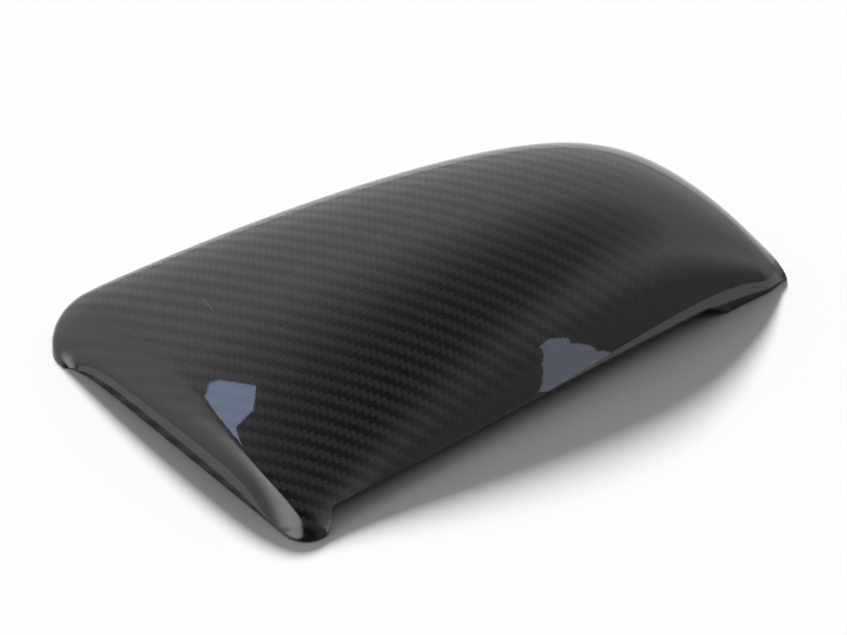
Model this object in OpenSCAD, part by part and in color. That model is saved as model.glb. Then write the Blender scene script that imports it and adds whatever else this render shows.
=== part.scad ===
// Wing mirror cover: one thin moulded laminate shell, lying face up on its rim.
//
// The outer skin is a loft along the length. Every section is an arch across the width. It
// leaves the front rim on part of an ellipse, passes over the crown line and rolls down to the
// far rim. The straight end leans in as a low wall, which meets the front in a crease that
// softens into a broad shoulder at the far corner. At the narrow end the arches shrink down
// to the rim.
// The inner skin lies one wall under the outer skin, and a flat cut edge joins the two.

/* [Plan outline] */
// Length from the straight end to the narrow end
cover_l = 246; // [210:1:290]
// Width of the cover at the straight end, were its far corner square
cover_w = 158.5; // [130:0.5:190]
// How much nearer the far side has come to the front at the narrow end
far_taper = 32.5; // [10:0.5:50]
// Power that bends the far side along its length
far_bend = 1.6; // [1.3:0.05:2.5]
// Power that squares the rounded corner at the end of the far side
far_square = 5; // [3:0.1:7]
// Length of the rounded corner between the straight end and the far side
far_corner_l = 21; // [12:1:40]
// Width of that corner
far_corner_w = 27; // [12:1:40]
// Plan radius of the front corner at the straight end
end_corner_r = 12; // [6:1:20]
// Plan radius of the front corner at the narrow end
tip_corner_r = 17; // [6:1:22]
// Rim left between the two corners of the narrow end
tip_w = 10; // [5:1:20]

/* [Arch] */
// Height of the crown line at its highest
crown_h = 43.5; // [36:0.5:60]
// Height of the crown line over the straight end
shoulder_h = 14.5; // [12:0.5:24]
// Distance of the highest point from the straight end
crown_x = 192; // [130:1:220]
// Share of the width that lies between the front rim and the crown line
crown_share = 0.585; // [0.54:0.005:0.62]
// Angle at which the front ellipse begins on the floor, where 0 would be upright
front_start = 5; // [0:1:20]
// Power of the drop of the crown line towards the narrow end
drop_power = 13; // [8:1:18]
// Power that rounds the foot of that drop
drop_round = 1.2; // [1.1:0.05:2.2]

/* [Straight end] */
// Run of the shoulder in from the straight end, at the front
roll_front = 6.5; // [5:0.5:20]
// Run of the shoulder in from the straight end, at the far side
roll_far = 34; // [12:1:40]
// Power of the soft shoulder's profile, where 2 is an ellipse
roll_power = 2.3; // [2:0.1:3]
// Power of the creased shoulder's profile, where 1 is a flat chamfer
crease_power = 1.25; // [1.1:0.05:2]
// Share of the arch, from the front rim, at which the crease is wholly crisp
crisp_share = 0.12; // [0.1:0.01:0.2]
// Share of the arch at which the crease starts to soften
crease_share = 0.2; // [0.2:0.05:0.4]
// Share of the arch at which the shoulder is wholly soft
soft_share = 0.65; // [0.5:0.05:0.8]
// How far the rim flares out at the far corner
flare = 4.3; // [0:0.1:8]
// Length over which the flare fades along the cover
flare_l = 24; // [12:1:40]

/* [Front rim] */
// Height of the front rim above the floor, between its two feet
rim_gap = 5.5; // [0:0.5:8]
// Length of the foot at the straight end
end_foot_l = 11; // [6:1:25]
// Length of the foot at the narrow end
tip_foot_l = 34; // [15:1:50]
// Run of the rim up from the foot at the straight end
end_ramp_l = 9; // [5:1:20]
// Run of the rim up from the foot at the narrow end
tip_ramp_l = 12; // [5:1:20]

/* [Laminate] */
// Thickness of the laminate, measured square to its skin
wall = 1.2; // [0.8:0.1:2]

/* [Mesh] */
// Steps along the length
steps_l = 52; // [30:1:64]
// Steps across the width, an even number
steps_w = 36; // [20:2:44]

/* [Hidden] */

// Steps along the length, as a whole number
whole_l = round(steps_l);
// Steps across the width, as a whole number on each half of the arch
whole_w = 2 * round(steps_w / 2);

// Share of the arch, from the front rim, at which the flare starts
flare_from = 0.65;
// The most of an arch's height that the front rim's gap may take
gap_share_max = 0.5;
// Step in from a rim at which the skin's direction is read there
rim_step = 0.004;
// Half of the step over which the skin's direction is read
read_step = 0.002;
// Least horizontal part of the skin's direction that the cut edge allows for
least_side = 0.45;
// Least share of the outer skin's height that the inner skin has beside the rim
least_rise = 0.4;

// 0 before 0 and 1 past 1, with a smooth rise between
function smooth(t) = let (c = min(1, max(0, t))) c * c * (3 - 2 * c);

// Inset of a corner of radius r, at d past the start of its round
function corner_inset(r, d) = let (c = min(r, max(0, d))) r - sqrt(r * r - c * c);

// Length station of parameter u, closer together near both ends
function station(u) = cover_l / 2 * (1 - cos(180 * u));

// Front rim line in plan, at the height of the gap
function front_line(x) =
    corner_inset(end_corner_r, end_corner_r - x)
    + corner_inset(tip_corner_r, x - cover_l + tip_corner_r);

// Far rim in plan: a tapering side that bends in to the narrow end, and the far corner
function far_line(x) =
    let (
        along = min(1, x / cover_l),
        side = (cover_w - far_taper * along) * pow(1 - pow(along, far_bend), 1 / far_square),
        corner = far_corner_w / far_corner_l
            * corner_inset(far_corner_l, far_corner_l - x)
    )
    max(side - corner, front_line(x) + tip_w);

// Height of the crown line: a parabola that drops to the rim at the narrow end
function crown_line(x) =
    let (
        along = min(1, x / cover_l),
        back = (crown_x - x) / crown_x
    )
    (crown_h - (crown_h - shoulder_h) * back * back)
    * pow(1 - pow(along, drop_power), 1 / drop_round);

// Share of the full gap that the front rim has at x: 0 on both feet and 1 between them
function notch(x) =
    smooth((x - end_foot_l) / end_ramp_l)
    * smooth((cover_l - tip_foot_l - x) / tip_ramp_l);

// Sine of the ellipse's angle at a share of the arch's height
function arch_sine(share) = sin(front_start) + share * (1 - sin(front_start));

// Share of the arch's height that a gap takes
function gap_share(gap, height) = min(gap_share_max, gap / max(height, 0.001));

// Rise of the shoulder at x: round at the foot, then a crease, and soft further on
function shoulder(x, v) =
    let (
        round_foot = 1 - smooth(v / crisp_share),
        soft = smooth((v - crease_share) / (soft_share - crease_share)),
        run = roll_front + (roll_far - roll_front) * v * soft,
        power = crease_power + (roll_power - crease_power) * max(round_foot, soft),
        left = max(0, 1 - x / run)
    )
    pow(1 - pow(left, power), 1 / power);

// How far the rim stands out at the far corner of the straight end
function flare_out(x, v) =
    let (
        over = max(0, (v - flare_from) / (1 - flare_from)),
        left = max(0, 1 - x / flare_l)
    )
    flare * over * over * left * left;

// Point of the outer skin, with u along the length and v across it from the front rim
function skin(u, v) =
    let (
        x = station(u),
        front = front_line(x),
        far = far_line(x),
        crown = front + crown_share * (far - front),
        height = crown_line(x),
        start_cos = cos(front_start),
        gap_sine = arch_sine(gap_share(rim_gap, height)),
        front_run = (crown - front) / sqrt(1 - gap_sine * gap_sine),
        rim_sine = arch_sine(gap_share(rim_gap * notch(x), height)),
        rim_angle = asin(rim_sine),
        t = rim_angle + (90 - rim_angle) * min(1, 2 * v),
        rise_front = (sin(t) - sin(front_start)) / (1 - sin(front_start)),
        w = 90 * min(1, 2 - 2 * v),
        // The far half has the front half's curvature where they meet at the crown line
        far_run = far - crown,
        fullness = min(1, (1 + sin(front_start)) * pow(far_run / (front_run * start_cos), 2)),
        rise_far = pow(sin(w), fullness),
        y = v <= 0.5 ? crown - front_run * cos(t) : crown + far_run * cos(w),
        z = height * (v <= 0.5 ? rise_front : rise_far) * shoulder(x, v)
    )
    [x - flare_out(x, v), y, max(0, z)];

// Outward direction of the skin, read a little inside the rim where the rim is reached
function outward(u, v) =
    let (
        a = min(1 - rim_step, max(rim_step, u)),
        b = min(1 - rim_step, max(rim_step, v)),
        along = skin(a + read_step, b) - skin(a - read_step, b),
        across = skin(a, b + read_step) - skin(a, b - read_step),
        n = cross(along, across)
    )
    n / norm(n);

// Point of the inner skin: one wall in along the normal, and level with the rim on the rim
function inner_skin(i, j) =
    let (
        u = i / whole_l,
        v = j / whole_w,
        outer = skin(u, v),
        n = outward(u, v),
        // The narrow end's own rim runs straight across
        side = i == whole_l ? [1, 0, 0] : [n.x, n.y, 0],
        on_rim = i == 0 || i == whole_l || j == 0 || j == whole_w,
        inner = outer - wall * (on_rim ? side / max(least_side, norm(side)) / norm(side) : n)
    )
    [inner.x, inner.y, max(inner.z, least_rise * outer.z)];

outer_points = [for (i = [0 : whole_l]) for (j = [0 : whole_w]) skin(i / whole_l, j / whole_w)];
inner_points = [for (i = [0 : whole_l]) for (j = [0 : whole_w]) inner_skin(i, j)];

// The reference point is the middle of the cover's box, on the floor
low_x = min([for (p = outer_points) p.x]);
high_x = max([for (p = outer_points) p.x]);
low_y = min([for (p = outer_points) p.y]);
high_y = max([for (p = outer_points) p.y]);
middle = [(low_x + high_x) / 2, (low_y + high_y) / 2, 0];

row = whole_w + 1;
inner_first = (whole_l + 1) * row;

// Two triangles of the patch at step i, j of the skin whose points start at first
function patch(i, j, first) =
    let (a = first + i * row + j)
    [[a, a + row + 1, a + row], [a, a + 1, a + row + 1]];

// The rim's points in order, round the four sides of the grid
rim = concat(
    [for (i = [0 : whole_l - 1]) i * row],
    [for (j = [0 : whole_w - 1]) whole_l * row + j],
    [for (i = [whole_l : -1 : 1]) i * row + whole_w],
    [for (j = [whole_w : -1 : 1]) j]
);

function reversed(face) = [face[2], face[1], face[0]];

outer_faces = [
    for (i = [0 : whole_l - 1]) for (j = [0 : whole_w - 1]) each patch(i, j, 0)
];
inner_faces = [
    for (i = [0 : whole_l - 1]) for (j = [0 : whole_w - 1])
        for (face = patch(i, j, inner_first)) reversed(face)
];
rim_faces = [
    for (k = [0 : len(rim) - 1])
        let (
            a = rim[k],
            b = rim[(k + 1) % len(rim)]
        )
        each [[a, b, b + inner_first], [a, b + inner_first, a + inner_first]]
];

// The moulded shell: outer skin, inner skin and the cut edge between them
module cover_shell()
{
    color("#17181b")
        translate(-middle)
            polyhedron(
                points = concat(outer_points, inner_points),
                faces = concat(outer_faces, inner_faces, rim_faces),
                convexity = 6
            );
}

cover_shell();
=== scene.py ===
"""Wing mirror cover: a gloss-coated twill laminate shell on a white stage."""

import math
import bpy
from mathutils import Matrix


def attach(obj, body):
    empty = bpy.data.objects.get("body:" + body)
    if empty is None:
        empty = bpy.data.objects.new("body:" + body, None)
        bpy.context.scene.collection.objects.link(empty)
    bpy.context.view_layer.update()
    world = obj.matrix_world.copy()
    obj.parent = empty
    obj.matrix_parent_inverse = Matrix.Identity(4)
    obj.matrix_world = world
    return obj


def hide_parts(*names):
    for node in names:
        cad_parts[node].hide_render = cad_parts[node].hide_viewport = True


bl_info = {
    "name": "Wing Mirror Cover",
    "version": (1, 0, 0),
    "blender": (4, 5, 0),
    "location": "View3D > Sidebar > Mirror Cover",
    "description": "Dresses the laminate shell of a wing mirror cover and sets its stage",
    "category": "Object",
}

import bpy
import numpy as np
from bpy.props import FloatProperty, FloatVectorProperty, IntProperty, PointerProperty
from mathutils import Matrix, Vector

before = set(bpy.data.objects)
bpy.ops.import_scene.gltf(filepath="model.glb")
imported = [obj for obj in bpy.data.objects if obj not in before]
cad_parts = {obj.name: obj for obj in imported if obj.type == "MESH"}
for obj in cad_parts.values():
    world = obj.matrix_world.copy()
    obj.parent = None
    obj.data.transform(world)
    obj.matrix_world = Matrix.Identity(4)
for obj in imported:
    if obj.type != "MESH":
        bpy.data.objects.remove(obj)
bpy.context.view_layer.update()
SHELL_NODE = "cover_shell"

# The most of an arch's height that the front rim's gap may take
GAP_SHARE_MAX = 0.5
# Least horizontal part of the skin's direction that the cut edge allows for
LEAST_SIDE = 0.45
# Least share of the outer skin's height that the inner skin has beside the rim
LEAST_RISE = 0.4
# Step in from a rim at which the skin's direction is read there
RIM_STEP = 0.004
# Half of the step over which the skin's direction is read
READ_STEP = 0.002
# Place in metres, in the solid's own plan, at which the cloth's angles are as set
CLOTH_MIDDLE = (0.12, 0.06)
# Quads round the outer edge of the rim, and layers of cloth across the cut edge
EDGE_TURNS = 4
PLIES = 3

# Corners, in metres, of the two lit panes that the coat mirrors
OVERHEAD_PANE = [
    (-0.0076, 0.6742, 0.9993),
    (0.0381, 0.5600, 1.0604),
    (0.0275, 0.5213, 1.0839),
    (0.0229, 0.5017, 1.0957),
    (-0.0231, 0.6167, 1.0342),
]
SIDE_PANE = [
    (0.2779, -0.4108, 0.4474),
    (0.2747, -0.4345, 0.3492),
    (0.2702, -0.4503, 0.2902),
    (0.2737, -0.4696, 0.1939),
    (0.2792, -0.4863, 0.1036),
    (0.2957, -0.4982, 0.0053),
    (0.2666, -0.5158, 0.0053),
    (0.2556, -0.5093, 0.0643),
    (0.2535, -0.5019, 0.1036),
    (0.2509, -0.4860, 0.1822),
    (0.2540, -0.4601, 0.2902),
    (0.2614, -0.4415, 0.3541),
    (0.2707, -0.4162, 0.4425),
]

# Glow of each pane, as a linear colour
OVERHEAD_GLOW = (2.2, 2.75, 3.9)
SIDE_GLOW = (1.5, 1.62, 2.0)
# Where each soft lamp starts and where it is full, as the cosine of the angle to its middle
LEFT_EDGE = (0.8, 0.99)
RIGHT_EDGE = (0.76, 0.985)


def length(name, description, default, low=0.0, high=1.0):
    """A length property in metres."""
    return FloatProperty(
        name=name,
        description=description,
        default=default,
        min=low,
        max=high,
        subtype="DISTANCE",
        unit="LENGTH",
    )


def angle(name, description, degrees):
    """An angle property, kept in radians and shown in degrees."""
    return FloatProperty(
        name=name, description=description, default=math.radians(degrees), subtype="ANGLE"
    )


def number(name, description, default, low=0.0, high=100.0):
    """A plain number property."""
    return FloatProperty(name=name, description=description, default=default, min=low, max=high)


def colour(name, description, default):
    """A linear colour property."""
    return FloatVectorProperty(
        name=name,
        description=description,
        default=default,
        size=3,
        min=0.0,
        max=1.0,
        subtype="COLOR",
    )


class CoverForm(bpy.types.PropertyGroup):
    """Sizes of the moulded shell, the same as those of the solid that it dresses."""

    cover_l: length("Length", "From the straight end to the narrow end", 0.246)
    cover_w: length("Width", "At the straight end, were its far corner square", 0.1585)
    far_taper: length("Far taper", "How much nearer the far side is at the narrow end", 0.0325)
    far_bend: number("Far bend", "Power that bends the far side along its length", 1.6)
    far_square: number("Far square", "Power that squares the far side's last corner", 5.0)
    far_corner_l: length("Far corner length", "Of the corner beside the straight end", 0.021)
    far_corner_w: length("Far corner width", "Of the corner beside the straight end", 0.027)
    end_corner_r: length("End corner", "Front corner radius at the straight end", 0.012)
    tip_corner_r: length("Tip corner", "Front corner radius at the narrow end", 0.017)
    tip_w: length("Tip width", "Rim left between the corners of the narrow end", 0.010)
    crown_h: length("Crown height", "Height of the crown line at its highest", 0.0435)
    shoulder_h: length("Shoulder height", "Of the crown line over the straight end", 0.0145)
    crown_x: length("Crown place", "Highest point, from the straight end", 0.192)
    crown_share: number("Crown share", "Share of the width in front of the crown line", 0.585)
    front_start: angle("Front start", "Angle at which the front leaves the floor", 5.0)
    drop_power: number("Drop power", "Power of the drop at the narrow end", 13.0)
    drop_round: number("Drop round", "Power that rounds the foot of that drop", 1.2)
    roll_front: length("Front roll", "Run of the straight end's shoulder, at the front", 0.0065)
    roll_far: length("Far roll", "Run of the straight end's shoulder, at the far side", 0.034)
    roll_power: number("Roll power", "Power of the soft shoulder's profile", 2.3)
    crease_power: number("Crease power", "Power of the creased shoulder's profile", 1.25)
    crisp_share: number("Crisp share", "Share of the arch at which the crease is crisp", 0.12)
    crease_share: number("Crease share", "Share of the arch at which it starts to soften", 0.2)
    soft_share: number("Soft share", "Share of the arch at which the shoulder is soft", 0.65)
    flare: length("Flare", "How far the rim stands out at the far corner", 0.0043)
    flare_l: length("Flare length", "Over which the flare fades", 0.024)
    flare_from: number("Flare start", "Share of the arch at which the flare starts", 0.65)
    rim_gap: length("Rim gap", "Height of the front rim between its two feet", 0.0055)
    end_foot_l: length("End foot", "Length of the foot at the straight end", 0.011)
    tip_foot_l: length("Tip foot", "Length of the foot at the narrow end", 0.034)
    end_ramp_l: length("End ramp", "Run of the rim up from the straight end's foot", 0.009)
    tip_ramp_l: length("Tip ramp", "Run of the rim up from the narrow end's foot", 0.012)
    wall: length("Wall", "Thickness of the laminate", 0.0012)
    edge_r: length("Edge round", "Radius of the coat over the outer edge of the rim", 0.00035)
    steps_l: IntProperty(name="Steps along", description="Of the mesh", default=240, min=40)
    steps_w: IntProperty(name="Steps across", description="Of the mesh", default=150, min=30)


class ClothFinish(bpy.types.PropertyGroup):
    """The twill cloth, its clear coat, and the laminate's bare faces."""

    tow_w: length("Tow width", "Distance from one tow of the cloth to the next", 0.002)
    lie: angle("Lie", "Angle of the warp to the cover's length, halfway along", 12.3)
    lie_along: angle("Lie along", "What half the length adds to that angle", 5.06)
    lie_across: angle("Lie across", "What the step across adds to that angle", 5.5)
    lie_twist: angle("Lie twist", "What the skin's double slope adds to that angle", 73.2)
    shear: angle("Shear", "How far the weft is from square to the warp", 5.3)
    shear_along: angle("Shear along", "What half the length adds to the shear", -6.8)
    shear_across: angle("Shear across", "What the step across adds to the shear", 2.7)
    warp_colour: colour("Warp", "Colour of the tows along the cover", (0.0050, 0.0051, 0.0054))
    # The weft is painted a little lighter than the warp: a painted sheen for the light that the
    # cross tows catch, since both are the same fibre.
    weft_sheen_colour: colour("Weft", "Colour of the tows across the cover", (0.0060, 0.0061, 0.0064))
    # This colour fills the real resin gaps between tows, and is also painted over the tows'
    # rounded flanks as shade.
    resin_and_shade_colour: colour("Resin", "Colour between the tows", (0.0042, 0.0043, 0.0046))
    edge_colour: colour("Cut edge", "Colour of the trimmed laminate", (0.045, 0.046, 0.048))
    inner_colour: colour("Inner face", "Colour of the bare inner face", (0.022, 0.022, 0.024))
    scratch_colour: colour("Scratch", "Colour of the fine scratches", (0.09, 0.095, 0.105))


class StageSettings(bpy.types.PropertyGroup):
    """Floor, the room's light, lamps and camera."""

    floor_size: length("Floor size", "Side of the square floor", 12.0, high=50.0)
    floor_colour: colour("Floor", "Colour of the floor", (0.92, 0.92, 0.92))
    backdrop_light: number("Backdrop", "Light of the white room behind the cover", 0.65)
    room_light: number("Room", "Light of the dark room over and before it", 0.045)
    backdrop_gloss: number("Backdrop in gloss", "Brightness of that room in reflections", 1.15)
    left_light: number("Left lamp", "Brightness of the soft lamp on the camera's left", 4.2)
    left_side: angle("Left lamp turn", "Turn of that lamp from the view ahead", -123.0)
    left_height: angle("Left lamp height", "Height of that lamp over the floor", 34.0)
    right_light: number("Right lamp", "Brightness of the soft lamp on the right", 0.3)
    right_side: angle("Right lamp turn", "Turn of that lamp from the view ahead", 108.0)
    right_height: angle("Right lamp height", "Height of that lamp over the floor", 18.0)
    key_strength: number("Key strength", "Strength of the soft lamp behind the cover", 6.1)
    key_spread: angle("Key spread", "Apparent size of that lamp", 8.5)
    key_height: angle("Key height", "Height of that lamp over the floor", 23.5)
    key_side: angle("Key side", "How far to the left of the view that lamp stands", 6.0)
    view_turn: angle("View turn", "Turn of the camera round the cover", 39.506)
    view_height: angle("View height", "Height of the camera over the floor", 37.501)
    view_distance: length("View distance", "From the camera to what it aims at", 1.5, high=20.0)
    view_aim: FloatVectorProperty(
        name="View aim",
        description="Point that the camera looks at",
        default=(-0.05377, -0.06725, 0.06284),
        size=3,
        subtype="TRANSLATION",
        unit="LENGTH",
    )
    lens: number("Lens", "Focal length in millimetres", 179.6, high=1000.0)


def smooth(t):
    """0 below 0 and 1 above 1, and 3 t squared less 2 t cubed between."""
    c = np.clip(t, 0.0, 1.0)
    return c * c * (3.0 - 2.0 * c)


def corner_inset(radius, past):
    """How far a circle of that radius has turned in, at a distance past its start."""
    c = np.clip(past, 0.0, radius)
    return radius - np.sqrt(radius * radius - c * c)


def skin(form, u, v):
    """The outer skin, as points of the grid of u and v, each from 0 to 1.

    x is half the length times 1 less the cosine of 180 degrees times u. Across the width,
    the first half of v goes up an ellipse from the front rim to the crown line, and the
    second half goes down a squarer ellipse to the far rim. The height is the crown line's
    height times that arch, times a shoulder that rises from the straight end.
    """
    u, v = np.broadcast_arrays(u, v)
    x = form.cover_l / 2 * (1 - np.cos(np.pi * u))
    along = np.minimum(1.0, x / form.cover_l)
    front = corner_inset(form.end_corner_r, form.end_corner_r - x)
    front = front + corner_inset(form.tip_corner_r, x - form.cover_l + form.tip_corner_r)
    square = np.maximum(1 - along**form.far_bend, 0.0) ** (1 / form.far_square)
    side = (form.cover_w - form.far_taper * along) * square
    corner = corner_inset(form.far_corner_l, form.far_corner_l - x)
    corner = corner * form.far_corner_w / form.far_corner_l
    far = np.maximum(side - corner, front + form.tip_w)
    crown = front + form.crown_share * (far - front)
    back = (form.crown_x - x) / form.crown_x
    drop = np.maximum(1 - along**form.drop_power, 0.0) ** (1 / form.drop_round)
    height = (form.crown_h - (form.crown_h - form.shoulder_h) * back**2) * drop

    low = math.sin(form.front_start)
    per_height = 1 / np.maximum(height, 1e-6)
    gap_sine = low + np.minimum(GAP_SHARE_MAX, form.rim_gap * per_height) * (1 - low)
    front_run = (crown - front) / np.sqrt(1 - gap_sine**2)
    notch = smooth((x - form.end_foot_l) / form.end_ramp_l)
    notch = notch * smooth((form.cover_l - form.tip_foot_l - x) / form.tip_ramp_l)
    rim_share = np.minimum(GAP_SHARE_MAX, form.rim_gap * notch * per_height)
    rim_sine = low + rim_share * (1 - low)
    rim_angle = np.arcsin(rim_sine)
    up = rim_angle + (np.pi / 2 - rim_angle) * np.minimum(1.0, 2 * v)
    down = np.pi / 2 * np.minimum(1.0, 2 - 2 * v)
    far_run = far - crown
    fullness = (1 + low) * (far_run / (front_run * math.cos(form.front_start))) ** 2
    rise_far = np.clip(np.sin(down), 0.0, 1.0) ** np.minimum(1.0, fullness)
    rise = np.where(v <= 0.5, (np.sin(up) - low) / (1 - low), rise_far)
    y = np.where(v <= 0.5, crown - front_run * np.cos(up), crown + far_run * np.cos(down))

    round_foot = 1 - smooth(v / form.crisp_share)
    soft = smooth((v - form.crease_share) / (form.soft_share - form.crease_share))
    run = form.roll_front + (form.roll_far - form.roll_front) * v * soft
    rounder = np.maximum(round_foot, soft)
    power = form.crease_power + (form.roll_power - form.crease_power) * rounder
    left = np.maximum(0.0, 1 - x / run)
    shoulder = (1 - left**power) ** (1 / power)
    over = np.maximum(0.0, (v - form.flare_from) / (1 - form.flare_from))
    flare = form.flare * over**2 * np.maximum(0.0, 1 - x / form.flare_l) ** 2
    return np.stack([x - flare, y, np.maximum(0.0, height * rise * shoulder)], axis=-1)


def normalised(vectors):
    """Each vector divided by its own length."""
    return vectors / np.linalg.norm(vectors, axis=-1, keepdims=True)


def outward(form, u, v):
    """Outward direction of the skin: the cross of its two slopes, read just inside a rim."""
    a = np.clip(u, RIM_STEP, 1 - RIM_STEP)
    b = np.clip(v, RIM_STEP, 1 - RIM_STEP)
    along = skin(form, a + READ_STEP, b) - skin(form, a - READ_STEP, b)
    across = skin(form, a, b + READ_STEP) - skin(form, a, b - READ_STEP)
    return normalised(np.cross(along, across))


def level(vectors):
    """The vectors with no upward part, at length 1."""
    return normalised(vectors * np.array([1.0, 1.0, 0.0]))


def ring(grid):
    """The grid's outer points in order, round its four sides."""
    sides = [grid[:-1, 0], grid[-1, :-1], grid[:0:-1, -1], grid[0, :0:-1]]
    return np.concatenate(sides)


def spread_over(grid, east, north):
    """Heights over the grid whose steps east and north come as near as can be to those given.

    The divergence of the wanted steps is divided, in a cosine transform, by that of a wave
    of each length. The grid is mirrored both ways first, so that its edges stay free.
    """
    divergence = np.zeros(grid)
    divergence[1:] += east
    divergence[:-1] -= east
    divergence[:, 1:] += north
    divergence[:, :-1] -= north
    mirrored = np.block(
        [
            [divergence, divergence[:, ::-1]],
            [divergence[::-1], divergence[::-1, ::-1]],
        ]
    )
    rows, columns = mirrored.shape
    stiff_rows = 2 - 2 * np.cos(2 * np.pi * np.arange(rows) / rows)
    stiff_columns = 2 - 2 * np.cos(2 * np.pi * np.arange(columns) / columns)
    stiffness = stiff_rows[:, None] + stiff_columns[None, :]
    stiffness[0, 0] = 1.0
    waves = np.fft.fft2(mirrored) / stiffness
    waves[0, 0] = 0.0
    return np.fft.ifft2(waves).real[: grid[0], : grid[1]]


def cloth_counts(cloth, form, points, normals):
    """How many tows lie between the cloth's middle and each point, along warp and weft.

    The level directions are turned onto the skin by the least turn that tips straight up
    onto its normal. Warp and weft lie at angles to them that grow evenly over the plan.
    """
    tilt = normals.copy()
    tilt[..., 2] = np.maximum(tilt[..., 2], 0.0)
    tilt = normalised(tilt)
    lean = tilt / (1 + tilt[..., 2:])
    lean[..., 2] = 1.0
    east = np.array([1.0, 0.0, 0.0]) - tilt[..., :1] * lean
    north = np.array([0.0, 1.0, 0.0]) - tilt[..., 1:2] * lean
    middle_x, middle_y = CLOTH_MIDDLE
    along = (points[..., 0] - middle_x) / middle_x
    across = (points[..., 1] - middle_y) / middle_y
    twist = tilt[..., 0] * tilt[..., 1] / (1 + tilt[..., 2])
    lie = cloth.lie + cloth.lie_along * along + cloth.lie_across * across
    lie = (lie + cloth.lie_twist * twist)[..., None]
    shear = cloth.shear + cloth.shear_along * along + cloth.shear_across * across
    shear = shear[..., None]
    per_tow = 1 / (np.cos(shear) * cloth.tow_w)
    warp_slope = (np.cos(lie + shear) * east - np.sin(lie + shear) * north) * per_tow
    weft_slope = -(np.sin(lie) * east + np.cos(lie) * north) * per_tow
    counts = []
    for slope in (warp_slope, weft_slope):
        down = (slope[1:] + slope[:-1]) / 2 * (points[1:] - points[:-1])
        over = (slope[:, 1:] + slope[:, :-1]) / 2 * (points[:, 1:] - points[:, :-1])
        counts.append(spread_over(points.shape[:2], down.sum(-1), over.sum(-1)))
    return np.stack(counts, axis=-1)


def quads_of(rows, columns, first, outer):
    """The quads of a grid of points whose numbers start at first, facing out or in."""
    i, j = np.meshgrid(np.arange(rows - 1), np.arange(columns - 1), indexing="ij")
    a = (first + i * columns + j).ravel()
    quads = np.stack([a, a + columns, a + columns + 1, a + 1], axis=-1)
    return quads if outer else quads[:, ::-1]


def band_of(lower, upper):
    """The quads between two closed rings of as many points."""
    return np.stack([lower, upper, np.roll(upper, -1), np.roll(lower, -1)], axis=-1)


def shell_surface(form, cloth):
    """Points, quads, face kinds and cloth counts of the whole closed shell.

    The outer skin is lifted by the edge's round at the rim, and by nothing at the crown.
    A quarter circle then rounds it into the level cut edge. The inner skin lies one wall
    under the outer one, measured along its normal, and ends level with the cut edge. The
    face kinds are 0 for the coated cloth, 1 for the inner face and 2 for the cut edge.
    """
    rows = form.steps_l + 1
    columns = form.steps_w + 1
    u = np.linspace(0.0, 1.0, rows)[:, None]
    v = np.linspace(0.0, 1.0, columns)[None, :]
    outer = skin(form, u, v)
    normals = outward(form, *np.broadcast_arrays(u, v))
    counts = cloth_counts(cloth, form, outer, normals)

    rim_side = normals.copy()
    rim_side[-1] = np.array([1.0, 0.0, 0.0])
    flat_part = np.linalg.norm(rim_side[..., :2], axis=-1, keepdims=True)
    rim_step_in = level(rim_side) * form.wall / np.maximum(LEAST_SIDE, flat_part)
    on_rim = np.ones((rows, columns, 1), dtype=bool)
    on_rim[1:-1, 1:-1] = False
    inner = outer - np.where(on_rim, rim_step_in, normals * form.wall)
    inner[..., 2] = np.maximum(inner[..., 2], LEAST_RISE * outer[..., 2])
    inner[..., 0] = np.minimum(inner[..., 0], form.cover_l - form.wall)

    lifted = outer.copy()
    lifted[..., 2] += form.edge_r * (1 - outer[..., 2] / form.crown_h)
    points = [lifted.reshape(-1, 3), inner.reshape(-1, 3)]
    numbers = np.arange(rows * columns).reshape(rows, columns)
    outer_ring = ring(numbers)
    inner_ring = outer_ring + rows * columns
    faces = [
        quads_of(rows, columns, 0, True),
        quads_of(rows, columns, rows * columns, False),
    ]
    kinds = [np.zeros(len(faces[0]), dtype=int), np.ones(len(faces[1]), dtype=int)]

    rim = ring(outer)
    rim_up = ring(lifted)[:, 2:] - rim[:, 2:]
    rim_out = level(ring(rim_side))
    through = [np.zeros(rows * columns), np.ones(rows * columns)]
    before = outer_ring
    last = 2 * rows * columns
    for turn in range(1, EDGE_TURNS + 1):
        bend = np.pi / 2 * turn / EDGE_TURNS
        inset = form.edge_r * (1 - math.cos(bend))
        ring_points = rim - rim_out * inset
        ring_points[:, 2:] += rim_up * (1 - math.sin(bend))
        ring_points[:, 0] = np.minimum(ring_points[:, 0], form.cover_l)
        points.append(ring_points)
        through.append(np.full(len(rim), inset / form.wall))
        here = last + np.arange(len(rim))
        faces.append(band_of(before, here))
        kinds.append(np.full(len(rim), 0 if turn < EDGE_TURNS else 2, dtype=int))
        before = here
        last += len(rim)
    rounded = points[-1]
    for ply in range(1, PLIES):
        share = ply / PLIES
        points.append(rounded + (ring(inner) - rounded) * share)
        through.append(np.full(len(rim), share))
        here = last + np.arange(len(rim))
        faces.append(band_of(before, here))
        kinds.append(np.full(len(rim), 2, dtype=int))
        before = here
        last += len(rim)
    faces.append(band_of(before, inner_ring))
    kinds.append(np.full(len(rim), 2, dtype=int))

    flat_counts = counts.reshape(-1, 2)
    ring_counts = ring(counts)
    rings = EDGE_TURNS + PLIES - 1
    all_counts = np.concatenate([flat_counts, flat_counts] + [ring_counts] * rings)
    return {
        "outer": outer.reshape(-1, 3),
        "points": np.concatenate(points),
        "faces": np.concatenate(faces),
        "kinds": np.concatenate(kinds),
        "counts": all_counts,
        "through": np.concatenate(through),
    }


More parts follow.
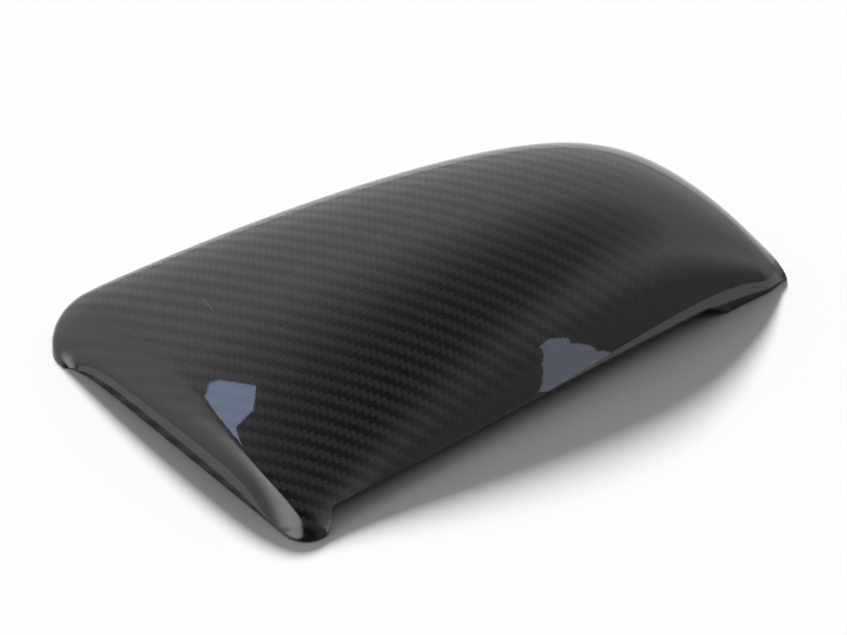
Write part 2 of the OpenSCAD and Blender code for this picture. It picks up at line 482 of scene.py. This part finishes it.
def mesh_from(name, surface, shift):
    """A mesh of quads with its material numbers, weave map and place through the wall."""
    points = surface["points"] - shift
    faces = surface["faces"]
    mesh = bpy.data.meshes.new(name)
    mesh.vertices.add(len(points))
    mesh.vertices.foreach_set("co", points.astype(np.float32).ravel())
    mesh.loops.add(faces.size)
    mesh.loops.foreach_set("vertex_index", faces.astype(np.int32).ravel())
    mesh.polygons.add(len(faces))
    mesh.polygons.foreach_set("loop_start", np.arange(0, faces.size, 4, dtype=np.int32))
    mesh.polygons.foreach_set("material_index", surface["kinds"].astype(np.int32))
    mesh.update(calc_edges=True)
    weave = mesh.uv_layers.new(name="weave")
    weave.uv.foreach_set("vector", surface["counts"][faces.ravel()].astype(np.float32).ravel())
    through = mesh.attributes.new("through", "FLOAT", "POINT")
    through.data.foreach_set("value", surface["through"].astype(np.float32))
    mesh.shade_smooth()
    mesh.set_sharp_from_angle(angle=math.radians(50))
    if mesh.validate():
        raise RuntimeError(name + " has faces that the mesh can't hold")
    return mesh


class NodeTree:
    """Adds nodes to a material or world, and links them, in few words."""

    def __init__(self, owner):
        owner.use_nodes = True
        self.tree = owner.node_tree
        self.tree.nodes.clear()

    def add(self, kind, inputs=None, **settings):
        """A node of that kind, with its settings, and values or links into its inputs."""
        node = self.tree.nodes.new(kind)
        for key, value in settings.items():
            setattr(node, key, value)
        for key, value in (inputs or {}).items():
            socket = node.inputs[key]
            if isinstance(value, bpy.types.NodeSocket):
                self.tree.links.new(value, socket)
            else:
                socket.default_value = value
        return node

    def math(self, operation, a, b=0.0, c=0.0):
        """The output of a math node on up to three numbers or links."""
        node = self.add("ShaderNodeMath", {0: a, 1: b, 2: c}, operation=operation)
        return node.outputs[0]

    def mix_colour(self, share, a, b):
        """Colour a where share is 0 and colour b where it is 1."""
        node = self.add("ShaderNodeMix", {0: share}, data_type="RGBA")
        for key, value in ((6, a), (7, b)):
            if isinstance(value, bpy.types.NodeSocket):
                self.tree.links.new(value, node.inputs[key])
            else:
                node.inputs[key].default_value = (*value, 1.0)
        return node.outputs[2]

    def mix_number(self, share, a, b):
        """Number a where share is 0 and number b where it is 1."""
        node = self.add("ShaderNodeMix", {0: share, 2: a, 3: b}, data_type="FLOAT")
        return node.outputs[0]

    def ramp(self, value, low, high, start=0.0, end=1.0):
        """A smooth step from start to end as the value goes from low to high."""
        inputs = {"Value": value, 1: low, 2: high, 3: start, 4: end}
        kind = "ShaderNodeMapRange"
        return self.add(kind, inputs, interpolation_type="SMOOTHSTEP").outputs[0]

    def noise(self, vector, scale, detail=2.0):
        """Soft noise from 0 to 1 at a vector."""
        inputs = {"Vector": vector, "Scale": scale, "Detail": detail}
        return self.add("ShaderNodeTexNoise", inputs).outputs["Fac"]

    def vector(self, x, y, z=0.0):
        """A vector out of three numbers or links."""
        return self.add("ShaderNodeCombineXYZ", {0: x, 1: y, 2: z}).outputs[0]


# Fibres that the noise draws across one tow
FIBRES = 22.0
# Fine scratches in the coat: start and end in the plan, width, and strength
SCRATCHES = (
    ((-0.0785, 0.0328), (-0.0805, 0.0224), 0.00022, 1.0),
    ((-0.0727, -0.0027), (-0.0600, -0.0058), 0.00018, 0.4),
)


def twill(nodes):
    """The two by two twill on the weave map: which tow lies on top, and the cloth's relief.

    Cell i along the warp and j along the weft has the warp on top where i less j, counted
    in fours, is 0 or 1. A tow stands highest along its middle, and dips where it goes under.
    """
    weave = nodes.add("ShaderNodeUVMap", uv_map="weave").outputs["UV"]
    parts = nodes.add("ShaderNodeSeparateXYZ", {0: weave})
    along = parts.outputs["X"]
    across = parts.outputs["Y"]
    cell_i = nodes.math("FLOOR", along)
    cell_j = nodes.math("FLOOR", across)
    part_i = nodes.math("SUBTRACT", along, cell_i)
    part_j = nodes.math("SUBTRACT", across, cell_j)
    step = nodes.math("FLOORED_MODULO", nodes.math("SUBTRACT", cell_i, cell_j), 4.0)
    warp_on_top = nodes.math("LESS_THAN", step, 1.5)

    warp_run = nodes.math("MULTIPLY", nodes.math("ADD", step, part_i), 0.5)
    weft_step = nodes.math("SUBTRACT", nodes.math("SUBTRACT", step, 1.0), part_j)
    weft_run = nodes.math("MULTIPLY", weft_step, 0.5)
    run = nodes.mix_number(warp_on_top, weft_run, warp_run)
    side = nodes.mix_number(warp_on_top, part_i, part_j)

    def hump(value, power):
        """1 in the middle of 0 to 1, falling to 0 at its ends."""
        off = nodes.math("ABSOLUTE", nodes.math("MULTIPLY_ADD", value, 2.0, -1.0))
        return nodes.math("SUBTRACT", 1.0, nodes.math("POWER", off, power))

    crown = hump(side, 3.0)
    float_height = hump(run, 4.0)
    relief = nodes.math("MULTIPLY", crown, nodes.math("MULTIPLY_ADD", float_height, 0.6, 0.4))
    tow_number = nodes.mix_number(warp_on_top, cell_i, cell_j)
    tow_seed = nodes.vector(tow_number, warp_on_top)
    tow_tone = nodes.add("ShaderNodeTexWhiteNoise", {"Vector": tow_seed}).outputs["Value"]
    fibre_x = nodes.mix_number(warp_on_top, nodes.math("MULTIPLY", along, FIBRES), along)
    fibre_y = nodes.mix_number(warp_on_top, across, nodes.math("MULTIPLY", across, FIBRES))
    fibres = nodes.noise(nodes.vector(fibre_x, fibre_y, warp_on_top), 1.0)
    return {
        "warp_on_top": warp_on_top,
        "relief": relief,
        "tow_tone": tow_tone,
        "fibres": fibres,
    }


def scratch_mask(nodes, start, end, width):
    """1 on a fine straight line between two points of the plan, 0 off it, in metres."""
    place = nodes.add("ShaderNodeTexCoord").outputs["Object"]
    parts = nodes.add("ShaderNodeSeparateXYZ", {0: place})
    run = Vector(end) - Vector(start)
    reach = run.length
    run.normalize()
    x = nodes.math("SUBTRACT", parts.outputs["X"], start[0])
    y = nodes.math("SUBTRACT", parts.outputs["Y"], start[1])
    along = nodes.math("MULTIPLY_ADD", x, run.x, nodes.math("MULTIPLY", y, run.y))
    aside = nodes.math("MULTIPLY_ADD", x, -run.y, nodes.math("MULTIPLY", y, run.x))
    line = nodes.ramp(nodes.math("ABSOLUTE", aside), 0.3 * width, width, 1.0, 0.0)
    middle = nodes.math("ABSOLUTE", nodes.math("SUBTRACT", along, reach / 2))
    ends = nodes.ramp(middle, 0.35 * reach, 0.5 * reach, 1.0, 0.0)
    return nodes.math("MULTIPLY", line, ends)


def coated_cloth(cloth):
    """Twill cloth under a thick clear coat, with two fine scratches near the straight end.

    The gloss of a tow spreads across its fibres, so warp and weft shine a quarter turn apart.
    The weft is also painted a little lighter than the warp, as a painted sheen.
    """
    material = bpy.data.materials.new("coated_twill")
    nodes = NodeTree(material)
    cells = twill(nodes)
    # Warp and weft take their two colours here; the weft's lighter colour is a painted sheen.
    colour_mix = nodes.mix_colour(
        cells["warp_on_top"], tuple(cloth.weft_sheen_colour), tuple(cloth.warp_colour)
    )
    shade = nodes.math("MULTIPLY_ADD", cells["tow_tone"], 0.16, 0.92)
    fibre_tone = nodes.math("MULTIPLY_ADD", cells["fibres"], 0.5, 0.75)
    shade = nodes.math("MULTIPLY", shade, fibre_tone)
    toned = nodes.add("ShaderNodeVectorMath", {0: colour_mix, 3: shade}, operation="SCALE")
    # Resin colour in the gaps between tows is real; the same darker colour also spreads over
    # each tow's rounded flanks and dipping ends, as painted shade.
    between = nodes.ramp(cells["relief"], 0.2, 0.8, 1.0, 0.0)
    base = nodes.mix_colour(between, toned.outputs[0], tuple(cloth.resin_and_shade_colour))
    scratch = 0.0
    for start, end, width, strength in SCRATCHES:
        mask = scratch_mask(nodes, start, end, width)
        scratch = nodes.math("MULTIPLY_ADD", mask, strength, scratch)
    base = nodes.mix_colour(scratch, base, tuple(cloth.scratch_colour))
    relief = nodes.add(
        "ShaderNodeBump",
        {"Strength": 0.5, "Distance": 0.00012, "Height": cells["relief"]},
    )
    place = nodes.add("ShaderNodeTexCoord").outputs["Object"]
    ripple = nodes.math("MULTIPLY_ADD", cells["relief"], 0.35, nodes.noise(place, 260.0))
    print_through = nodes.add(
        "ShaderNodeBump", {"Strength": 0.008, "Distance": 0.0001, "Height": ripple}
    )
    tangent = nodes.add("ShaderNodeTangent", direction_type="UV_MAP", uv_map="weave")
    rotation = nodes.math("MULTIPLY", cells["warp_on_top"], 0.25)
    shader = nodes.add(
        "ShaderNodeBsdfPrincipled",
        {
            "Base Color": base,
            "Roughness": nodes.mix_number(between, 0.58, 0.9),
            "Specular IOR Level": 0.35,
            "Anisotropic": 1.0,
            "Anisotropic Rotation": rotation,
            "Tangent": tangent.outputs[0],
            "Normal": relief.outputs[0],
            "Coat Weight": 1.0,
            "Coat Roughness": 0.02,
            "Coat IOR": 1.57,
            "Coat Normal": print_through.outputs[0],
        },
    )
    nodes.add("ShaderNodeOutputMaterial", {"Surface": shader.outputs[0]})
    return material


def bare_cloth(cloth):
    """The inner face: the same cloth in matte resin, uneven from the peel ply."""
    material = bpy.data.materials.new("bare_inner_face")
    nodes = NodeTree(material)
    cells = twill(nodes)
    place = nodes.add("ShaderNodeTexCoord").outputs["Object"]
    patches = nodes.noise(place, 45.0, 3.0)
    dark = tuple(0.55 * part for part in cloth.inner_colour)
    light = tuple(1.35 * part for part in cloth.inner_colour)
    base = nodes.mix_colour(nodes.ramp(patches, 0.35, 0.65), dark, light)
    base = nodes.mix_colour(nodes.ramp(cells["relief"], 0.05, 0.4, 0.6, 0.0), base, dark)
    grain = nodes.noise(place, 2600.0)
    height = nodes.math("MULTIPLY_ADD", grain, 0.25, cells["relief"])
    relief = nodes.add(
        "ShaderNodeBump", {"Strength": 0.8, "Distance": 0.0002, "Height": height}
    )
    shader = nodes.add(
        "ShaderNodeBsdfPrincipled",
        {
            "Base Color": base,
            "Roughness": nodes.mix_number(patches, 0.42, 0.7),
            "Specular IOR Level": 0.5,
            "Normal": relief.outputs[0],
        },
    )
    nodes.add("ShaderNodeOutputMaterial", {"Surface": shader.outputs[0]})
    return material


def cut_edge(cloth):
    """The trimmed edge of the laminate: thin layers of cloth, seen end on."""
    material = bpy.data.materials.new("cut_edge")
    nodes = NodeTree(material)
    through = nodes.add("ShaderNodeAttribute", attribute_name="through").outputs["Fac"]
    layers = nodes.math("SINE", nodes.math("MULTIPLY", through, 31.0))
    place = nodes.add("ShaderNodeTexCoord").outputs["Object"]
    grain = nodes.noise(place, 1900.0)
    share = nodes.math("MULTIPLY_ADD", layers, 0.25, nodes.math("MULTIPLY", grain, 0.9))
    dark = tuple(0.4 * part for part in cloth.edge_colour)
    base = nodes.mix_colour(share, dark, tuple(cloth.edge_colour))
    relief = nodes.add(
        "ShaderNodeBump", {"Strength": 0.5, "Distance": 0.00005, "Height": share}
    )
    shader = nodes.add(
        "ShaderNodeBsdfPrincipled",
        {"Base Color": base, "Roughness": 0.55, "Normal": relief.outputs[0]},
    )
    nodes.add("ShaderNodeOutputMaterial", {"Surface": shader.outputs[0]})
    return material


class COVER_OT_shell(bpy.types.Operator):
    """Build the gloss-coated laminate shell in place of the plain solid"""

    bl_idname = "mirror_cover.shell"
    bl_label = "Shell"

    def execute(self, context):
        form = context.scene.cover_form
        cloth = context.scene.cover_cloth
        surface = shell_surface(form, cloth)
        low = surface["outer"].min(axis=0)
        high = surface["outer"].max(axis=0)
        shift = np.array([(low[0] + high[0]) / 2, (low[1] + high[1]) / 2, 0.0])
        mesh = mesh_from("laminate_shell", surface, shift)
        for material in (coated_cloth(cloth), bare_cloth(cloth), cut_edge(cloth)):
            mesh.materials.append(material)
        shell = bpy.data.objects.new("laminate_shell", mesh)
        context.scene.collection.objects.link(shell)
        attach(shell, "root")
        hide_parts(SHELL_NODE)
        return {"FINISHED"}


def view_axes(stage):
    """The camera's right, up and backward directions, from its turn and height."""
    turn = stage.view_turn
    height = stage.view_height
    right = Vector((math.cos(turn), -math.sin(turn), 0.0))
    ahead = Vector((math.sin(turn) * math.cos(height), math.cos(turn) * math.cos(height), 0.0))
    ahead.z = -math.sin(height)
    return right, right.cross(ahead), -ahead


def place_facing(lamp, place, target):
    """Puts a lamp at a place, shining at a target."""
    aim = (Vector(target) - Vector(place)).to_track_quat("-Z", "Y")
    lamp.matrix_world = Matrix.Translation(place) @ aim.to_matrix().to_4x4()


def flat_way(stage, aside):
    """The level direction that lies that far to the right of the view."""
    turn = stage.view_turn + aside
    return (math.sin(turn), math.cos(turn), 0.0)


def room(world, stage):
    """A white room behind and beside the cover, dark overhead and before it.

    The light falls off smoothly with height, and towards the camera's side. Two broad soft
    lamps, left and right of the camera, show in gloss alone. What the camera sees directly
    is plain white.
    """
    nodes = NodeTree(world)
    way = nodes.add("ShaderNodeTexCoord").outputs["Generated"]

    def part_towards(direction):
        """How much of the way points in a direction."""
        inputs = {0: way, 1: direction}
        node = nodes.add("ShaderNodeVectorMath", inputs, operation="DOT_PRODUCT")
        return node.outputs["Value"]

    height = part_towards((0.0, 0.0, 1.0))
    low = nodes.ramp(height, 0.70, 1.0, 1.0, 0.0)
    behind = nodes.ramp(part_towards(flat_way(stage, math.radians(-4.0))), -0.28, 0.05)
    horizon = nodes.ramp(height, -0.1, 0.3, 0.62, 1.0)
    share = nodes.math("MULTIPLY", nodes.math("MULTIPLY", low, behind), horizon)
    path = nodes.add("ShaderNodeLightPath").outputs
    gloss = path["Is Glossy Ray"]
    white = nodes.mix_number(gloss, stage.backdrop_light, stage.backdrop_gloss)
    strength = nodes.mix_number(share, stage.room_light, white)
    lamps = (
        (stage.left_side, stage.left_height, *LEFT_EDGE, stage.left_light),
        (stage.right_side, stage.right_height, *RIGHT_EDGE, stage.right_light),
    )
    for side, lamp_height, dim, full, light in lamps:
        lamp_way = Vector(flat_way(stage, side)) * math.cos(lamp_height)
        lamp_way.z = math.sin(lamp_height)
        lamp = nodes.ramp(part_towards(tuple(lamp_way)), dim, full, 0.0, light)
        strength = nodes.math("MULTIPLY_ADD", lamp, gloss, strength)
    seen = nodes.math("MAXIMUM", path["Is Camera Ray"], path["Is Transmission Ray"])
    strength = nodes.mix_number(seen, strength, 1.0)
    back = nodes.add("ShaderNodeBackground", {"Strength": strength})
    nodes.add("ShaderNodeOutputWorld", {"Surface": back.outputs[0]})


def gloss_floor(stage):
    """A white floor with a dull gloss."""
    material = bpy.data.materials.new("white_floor")
    nodes = NodeTree(material)
    path = nodes.add("ShaderNodeLightPath").outputs
    seen = nodes.math("MAXIMUM", path["Is Camera Ray"], path["Is Glossy Ray"])
    seen = nodes.math("MAXIMUM", seen, path["Is Transmission Ray"])
    white = nodes.mix_colour(seen, tuple(stage.floor_colour), (1.0, 1.0, 1.0))
    shader = nodes.add(
        "ShaderNodeBsdfPrincipled",
        {"Base Color": white, "Roughness": 0.5, "Specular IOR Level": 0.4},
    )
    nodes.add("ShaderNodeOutputMaterial", {"Surface": shader.outputs[0]})
    return material


def lamp_pane(name, corners, glow):
    """A flat lit pane that the coat mirrors, and that lights and hides nothing else."""
    mesh = bpy.data.meshes.new(name)
    mesh.from_pydata(corners, [], [tuple(range(len(corners)))])
    material = bpy.data.materials.new(name)
    nodes = NodeTree(material)
    light = nodes.add("ShaderNodeEmission", {"Color": (*glow, 1.0), "Strength": 1.0})
    nodes.add("ShaderNodeOutputMaterial", {"Surface": light.outputs[0]})
    mesh.materials.append(material)
    pane = bpy.data.objects.new(name, mesh)
    bpy.context.scene.collection.objects.link(pane)
    pane.visible_camera = False
    pane.visible_diffuse = False
    pane.visible_shadow = False


class COVER_OT_stage(bpy.types.Operator):
    """Set the white floor, the room's light, the lamps and the camera"""

    bl_idname = "mirror_cover.stage"
    bl_label = "Stage"

    def execute(self, context):
        scene = context.scene
        stage = scene.cover_stage
        half = stage.floor_size / 2
        floor_mesh = bpy.data.meshes.new("floor")
        signs = ((-1, -1), (1, -1), (1, 1), (-1, 1))
        corners = [(x * half, y * half, 0.0) for x, y in signs]
        floor_mesh.from_pydata(corners, [], [(0, 1, 2, 3)])
        floor_mesh.materials.append(gloss_floor(stage))
        floor = bpy.data.objects.new("floor", floor_mesh)
        scene.collection.objects.link(floor)

        world = bpy.data.worlds.new("room")
        scene.world = world
        room(world, stage)

        key_data = bpy.data.lights.new("key", "SUN")
        key_data.energy = stage.key_strength
        key_data.angle = stage.key_spread
        key = bpy.data.objects.new("key", key_data)
        scene.collection.objects.link(key)
        turn = stage.view_turn - stage.key_side
        up = math.sin(stage.key_height)
        out = math.cos(stage.key_height)
        place_facing(key, (math.sin(turn) * out, math.cos(turn) * out, up), (0.0, 0.0, 0.0))
        key.visible_glossy = False

        lamp_pane("overhead_pane", OVERHEAD_PANE, OVERHEAD_GLOW)
        lamp_pane("side_pane", SIDE_PANE, SIDE_GLOW)

        right, up, back = view_axes(stage)
        camera_data = bpy.data.cameras.new("camera")
        camera_data.sensor_fit = "HORIZONTAL"
        camera_data.sensor_width = 36.0
        camera_data.lens = stage.lens
        camera_data.clip_start = 0.05
        camera = bpy.data.objects.new("camera", camera_data)
        scene.collection.objects.link(camera)
        turned = Matrix((right, up, back)).transposed().to_4x4()
        spot = Vector(stage.view_aim) + back * stage.view_distance
        camera.matrix_world = Matrix.Translation(spot) @ turned
        scene.camera = camera
        scene.view_settings.view_transform = "Standard"
        return {"FINISHED"}


class COVER_PT_panel(bpy.types.Panel):
    """The cover's pieces and stage, in the sidebar"""

    bl_label = "Mirror Cover"
    bl_idname = "COVER_PT_panel"
    bl_space_type = "VIEW_3D"
    bl_region_type = "UI"
    bl_category = "Mirror Cover"

    def draw(self, context):
        layout = self.layout
        for operator in (COVER_OT_shell, COVER_OT_stage):
            layout.operator(operator.bl_idname)
        for group in ("cover_form", "cover_cloth", "cover_stage"):
            box = layout.box()
            settings = getattr(context.scene, group)
            for name in settings.__annotations__:
                box.prop(settings, name)


GROUPS = {"cover_form": CoverForm, "cover_cloth": ClothFinish, "cover_stage": StageSettings}
CLASSES = (*GROUPS.values(), COVER_OT_shell, COVER_OT_stage, COVER_PT_panel)


def register():
    for kind in CLASSES:
        bpy.utils.register_class(kind)
    for name, kind in GROUPS.items():
        setattr(bpy.types.Scene, name, PointerProperty(type=kind))


def unregister():
    for name in GROUPS:
        delattr(bpy.types.Scene, name)
    for kind in reversed(CLASSES):
        bpy.utils.unregister_class(kind)


def main():
    register()
    bpy.ops.mirror_cover.shell()
    bpy.ops.mirror_cover.stage()


if __name__ == "__main__":
    main()
